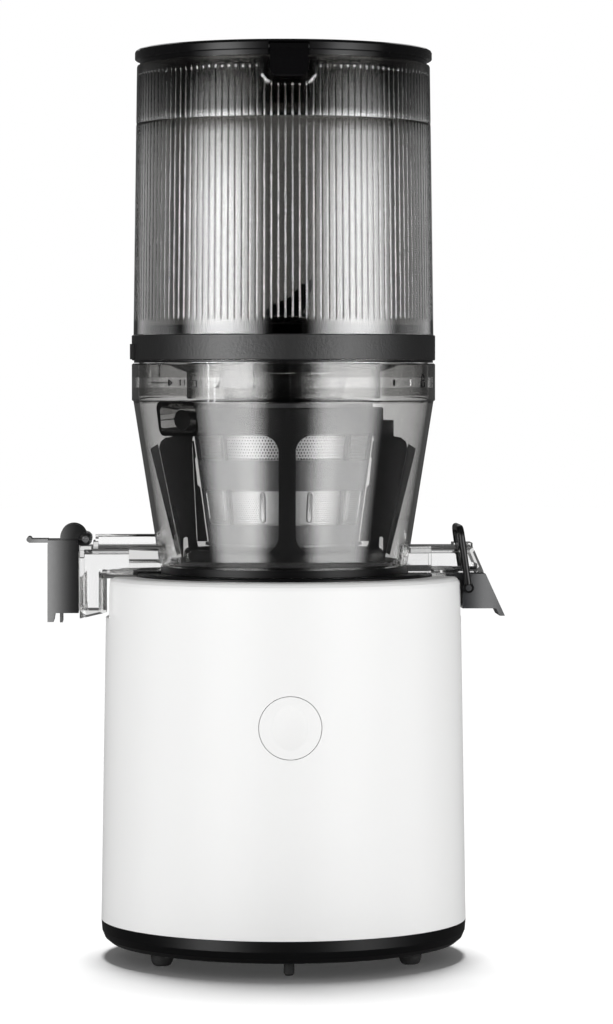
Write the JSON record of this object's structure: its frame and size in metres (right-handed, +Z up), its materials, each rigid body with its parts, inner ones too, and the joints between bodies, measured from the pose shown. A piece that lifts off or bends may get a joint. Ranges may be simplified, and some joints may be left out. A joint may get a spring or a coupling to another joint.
{
  "type": "slow juicer",
  "caption": "Upright slow juicer: round motor base with push button, clear juicing chamber with strainer, brush frame and auger, two spouts and a tall lidded hopper.",
  "frame": {"origin": "centre of the standing plane, on the vertical drive axis", "axes": "+Z up along the drive axis; front with the push button faces -Y; juice spout to -X, pulp spout to +X"},
  "size_m": [0.2373, 0.185, 0.4505],
  "materials": {
    "white_body": "satin",
    "black_plastic": "satin",
    "black_gloss": "gloss",
    "charcoal_plastic": "fine sandblasted texture",
    "grey_plastic": "satin",
    "steel": "fine brushed",
    "rubber": "matte",
    "clear_bowl": "clear moulded plastic",
    "smoked_clear": "smoked clear moulded plastic",
    "silicone": "translucent silicone",
    "copper_winding": "varnished copper wire",
    "board": "solder mask",
    "nylon_gear": "moulded nylon",
    "capacitor_can": "drawn can"
  },
  "bodies": {
    "base": {"body_shell": "white_body", "top_deck": "black_plastic", "base_cover": "black_plastic", "rubber_feet": "rubber", "cord_gland": "black_plastic", "button_switch": "charcoal_plastic", "control_board": "board", "board_screws": "steel", "run_capacitor": "capacitor_can", "interlock_sensor": "charcoal_plastic", "motor_case": "steel", "motor_stator": "copper_winding", "motor_bearings": "steel", "gearbox_housing": "grey_plastic", "gearbox_mid_plate": "grey_plastic", "gearbox_cover": "grey_plastic", "gearbox_bearings": "steel", "gearbox_mounts": "rubber", "drive_screws": "steel", "shaft_seal": "rubber", "base_screws": "steel", "deck_screws": "steel"},
    "button": {"power_button": "white_body"},
    "rotor": {"motor_rotor": "steel", "cooling_fan": "black_plastic", "motor_pinion": "steel"},
    "layshaft": {"intermediate_gear": "nylon_gear", "intermediate_shaft": "steel"},
    "output": {"output_gear": "nylon_gear", "drive_shaft": "steel"},
    "bowl": {"chamber": "clear_bowl", "juice_spout": "clear_bowl", "pulp_spout": "clear_bowl", "chamber_seal": "silicone", "interlock_magnet": "steel", "strainer_frame": "grey_plastic", "strainer_mesh": "steel", "idler_pin": "steel", "juice_cap_pin": "steel"},
    "brush": {"brush_frame": "charcoal_plastic", "wiper_blades": "silicone"},
    "idler": {"brush_idler": "grey_plastic"},
    "screw": {"auger": "black_plastic", "auger_flights": "black_plastic", "auger_wing": "black_plastic", "drive_socket": "steel"},
    "juice_stopper": {"juice_cap": "black_plastic", "juice_cap_seal": "silicone"},
    "chute": {"pulp_chute": "charcoal_plastic"},
    "loop": {"bail": "black_plastic"},
    "hopper_set": {"hopper": "smoked_clear", "hopper_funnel": "smoked_clear", "hinge_bracket": "black_plastic", "collar": "charcoal_plastic", "hopper_gasket": "rubber", "lid_hinge_pin": "steel"},
    "lid_set": {"lid": "black_gloss", "lid_skirt": "smoked_clear", "latch_pin": "steel"},
    "latch": {"lid_latch": "black_gloss"}
  },
  "joints": [
    {"name": "power_button_press", "type": "slide", "parent": "base", "child": "button", "axis": [0, 1, 0], "range_m": [0, 0.0016], "stiffness_N_per_m": 900},
    {"name": "motor_spin", "type": "hinge", "parent": "base", "child": "rotor", "pos_m": [0, 0.0075, 0.08], "axis": [0, 0, 1], "continuous": true},
    {"name": "layshaft_spin", "type": "hinge", "parent": "base", "child": "layshaft", "pos_m": [0, 0.0375, 0.13], "axis": [0, 0, 1], "continuous": true},
    {"name": "drive_shaft_spin", "type": "hinge", "parent": "base", "child": "output", "pos_m": [0, 0, 0.15], "axis": [0, 0, 1], "continuous": true},
    {"name": "chamber_lift", "type": "slide", "parent": "base", "child": "bowl", "axis": [0, 0, 1], "range_m": [0, 0.03]},
    {"name": "auger_spin", "type": "hinge", "parent": "bowl", "child": "screw", "pos_m": [0, 0, 0.25], "axis": [0, 0, 1], "continuous": true},
    {"name": "brush_spin", "type": "hinge", "parent": "bowl", "child": "brush", "pos_m": [0, 0, 0.23], "axis": [0, 0, 1], "continuous": true},
    {"name": "brush_idler_spin", "type": "hinge", "parent": "bowl", "child": "idler", "pos_m": [0, 0.038, 0.193], "axis": [0, 0, 1], "continuous": true},
    {"name": "juice_cap_hinge", "type": "hinge", "parent": "bowl", "child": "juice_stopper", "pos_m": [-0.0984, 0, 0.2085], "axis": [0, 1, 0], "range_deg": [0, 100]},
    {"name": "pulp_chute_pull", "type": "slide", "parent": "bowl", "child": "chute", "axis": [1, 0, 0], "range_m": [0, 0.035]},
    {"name": "bail_swing", "type": "hinge", "parent": "chute", "child": "loop", "pos_m": [0.0912, 0, 0.1842], "axis": [0, 1, 0], "range_deg": [0, 110]},
    {"name": "hopper_twist", "type": "hinge", "parent": "bowl", "child": "hopper_set", "pos_m": [0, 0, 0.3], "axis": [0, 0, 1], "range_deg": [0, 20]},
    {"name": "lid_hinge", "type": "hinge", "parent": "hopper_set", "child": "lid_set", "pos_m": [0, 0.0778, 0.4465], "axis": [-1, 0, 0], "range_deg": [0, 105]},
    {"name": "lid_latch_swing", "type": "hinge", "parent": "lid_set", "child": "latch", "pos_m": [0, -0.0714, 0.4472], "axis": [-1, 0, 0], "range_deg": [0, 10], "stiffness_Nm_per_rad": 0.02}
  ],
  "couplings": [
    {"joint": "layshaft_spin", "follows": "motor_spin", "ratio": -0.25},
    {"joint": "drive_shaft_spin", "follows": "motor_spin", "ratio": 0.0625},
    {"joint": "auger_spin", "follows": "motor_spin", "ratio": 0.0625},
    {"joint": "brush_idler_spin", "follows": "motor_spin", "ratio": -0.10714},
    {"joint": "brush_spin", "follows": "motor_spin", "ratio": -0.028846}
  ]
}
